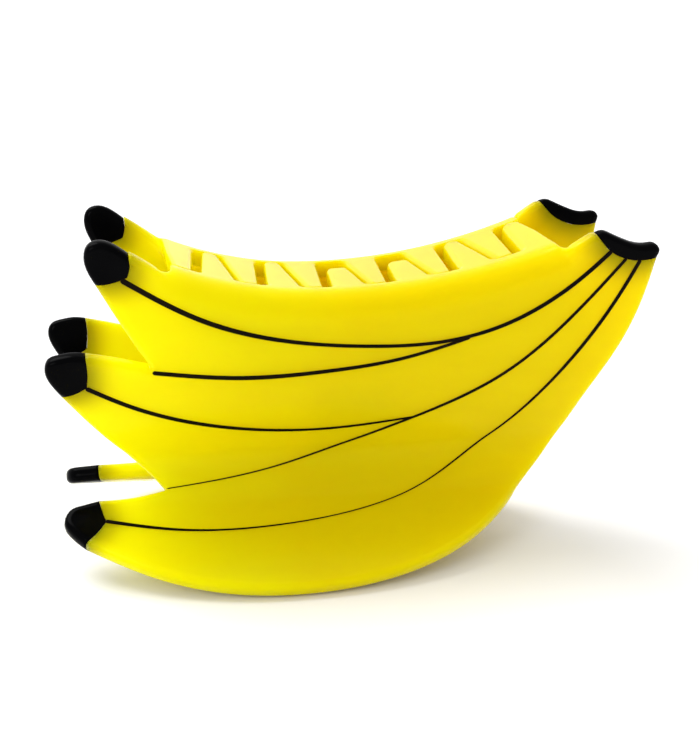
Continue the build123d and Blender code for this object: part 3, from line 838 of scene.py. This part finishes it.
MATERIALS = {
    "acetate_yellow": yellow_acetate(),
    "acetate_black": black_acetate(),
    "line_black": line_paint(),
    "hinge_steel": brushed_steel("hinge_steel", (0.62, 0.61, 0.58), 0.26, 0.42, (120, 5000, 5000)),
    "pin_steel": brushed_steel("pin_steel", (0.68, 0.67, 0.65), 0.2, 0.34, (5000, 300, 300)),
    "spring_steel": brushed_steel("spring_steel", (0.58, 0.57, 0.56), 0.18, 0.32, (2500, 2500, 2500)),
}


# ---------------------------------------------------------------- studio
FLOOR_SIZE = 14.0
SURROUND_DIM, SURROUND_BRIGHT = 0.66, 1.1
SUN_TOWARDS, SUN_STRENGTH, SUN_SPREAD = (0.42, -0.34, -0.84), 2.1, 40
KEY_AT, KEY_TARGET, KEY_SIZE, KEY_POWER = (-0.30, -0.26, 0.24), (-0.01, 0, 0.03), 0.2, 0.4
# camera fitted to the photograph
CAMERA_AT = Vector((-0.0411, -0.1941, PIVOT_Z * MM + 0.08296))
YAW, PITCH, ROLL = math.radians(12.3), math.radians(-19.0), math.radians(-2.0)
FOCAL = 1204 / 740      # focal length over the long side of the frame
SENSOR = 36


def studio_floor():
    """Plain pale floor."""
    mesh = bpy.data.meshes.new("studio_floor")
    s = FLOOR_SIZE / 2
    mesh.from_pydata([(-s, -s, 0), (s, -s, 0), (s, s, 0), (-s, s, 0)], [], [(0, 1, 2, 3)])
    floor = bpy.data.objects.new("studio_floor", mesh)
    bpy.context.scene.collection.objects.link(floor)
    material, tree, shader = new_material("studio_floor")
    coords = object_coords(tree)
    pale = ramp(tree, noise(tree, coords, 3, 2), [(0.3, (0.93, 0.93, 0.935)), (0.7, (0.95, 0.95, 0.95))])
    tree.links.new(pale, shader.inputs["Base Color"])
    shader.inputs["Roughness"].default_value = 0.9
    shader.inputs["Specular IOR Level"].default_value = 0.1
    mesh.materials.append(material)


def area_light(name, at, target, size, power):
    data = bpy.data.lights.new(name, "AREA")
    data.shape = "DISK"
    data.size, data.energy = size, power
    light = bpy.data.objects.new(name, data)
    light.location = at
    light.rotation_euler = (Vector(target) - Vector(at)).to_track_quat("-Z", "Y").to_euler()
    bpy.context.scene.collection.objects.link(light)


def sun(towards, strength, spread):
    """Very soft sun shining along a direction."""
    data = bpy.data.lights.new("overhead", "SUN")
    data.energy, data.angle = strength, math.radians(spread)
    light = bpy.data.objects.new("overhead", data)
    light.rotation_euler = Vector(towards).to_track_quat("-Z", "Y").to_euler()
    bpy.context.scene.collection.objects.link(light)


def surround(dim, bright):
    """White surround, brightest behind the object."""
    world = bpy.data.worlds.new("studio")
    world.use_nodes = True
    tree = world.node_tree
    direction = add(tree, "ShaderNodeSeparateXYZ")
    tree.links.new(add(tree, "ShaderNodeTexCoord").outputs["Generated"], direction.inputs["Vector"])
    level = add(tree, "ShaderNodeMapRange", interpolation_type="SMOOTHSTEP")
    for socket, value in (("From Min", -0.5), ("From Max", 0.7), ("To Min", dim), ("To Max", bright)):
        level.inputs[socket].default_value = value
    tree.links.new(direction.outputs["Y"], level.inputs["Value"])
    background = tree.nodes["Background"]
    background.inputs["Color"].default_value = (1, 1, 1, 1)
    tree.links.new(level.outputs["Result"], background.inputs["Strength"])
    bpy.context.scene.world = world


def studio_light():
    """Soft light from above and behind on the left, and a small key near the banana tips."""
    surround(SURROUND_DIM, SURROUND_BRIGHT)
    sun(SUN_TOWARDS, SUN_STRENGTH, SUN_SPREAD)
    area_light("key", KEY_AT, KEY_TARGET, KEY_SIZE, KEY_POWER)
    bpy.context.scene.view_settings.view_transform = "Standard"


def studio_camera():
    """Camera in front, a little to the left and above."""
    ahead = Vector((math.sin(YAW) * math.cos(PITCH), math.cos(YAW) * math.cos(PITCH), math.sin(PITCH)))
    level = Vector((math.cos(YAW), -math.sin(YAW), 0))
    down = ahead.cross(level)
    right = level * math.cos(ROLL) + down * math.sin(ROLL)
    up = level * math.sin(ROLL) - down * math.cos(ROLL)
    data = bpy.data.cameras.new("camera")
    data.sensor_width = SENSOR
    data.lens = FOCAL * SENSOR
    data.clip_start, data.clip_end = 0.01, 50
    camera = bpy.data.objects.new("camera", data)
    camera.matrix_world = Matrix.Translation(CAMERA_AT) @ Matrix((right, up, -ahead)).transposed().to_4x4()
    bpy.context.scene.collection.objects.link(camera)
    bpy.context.scene.camera = camera


# ---------------------------------------------------------------- scene
build_jaw("front", FRONT)
build_jaw("rear", REAR)
build_hinge()
studio_floor()
studio_light()
studio_camera()
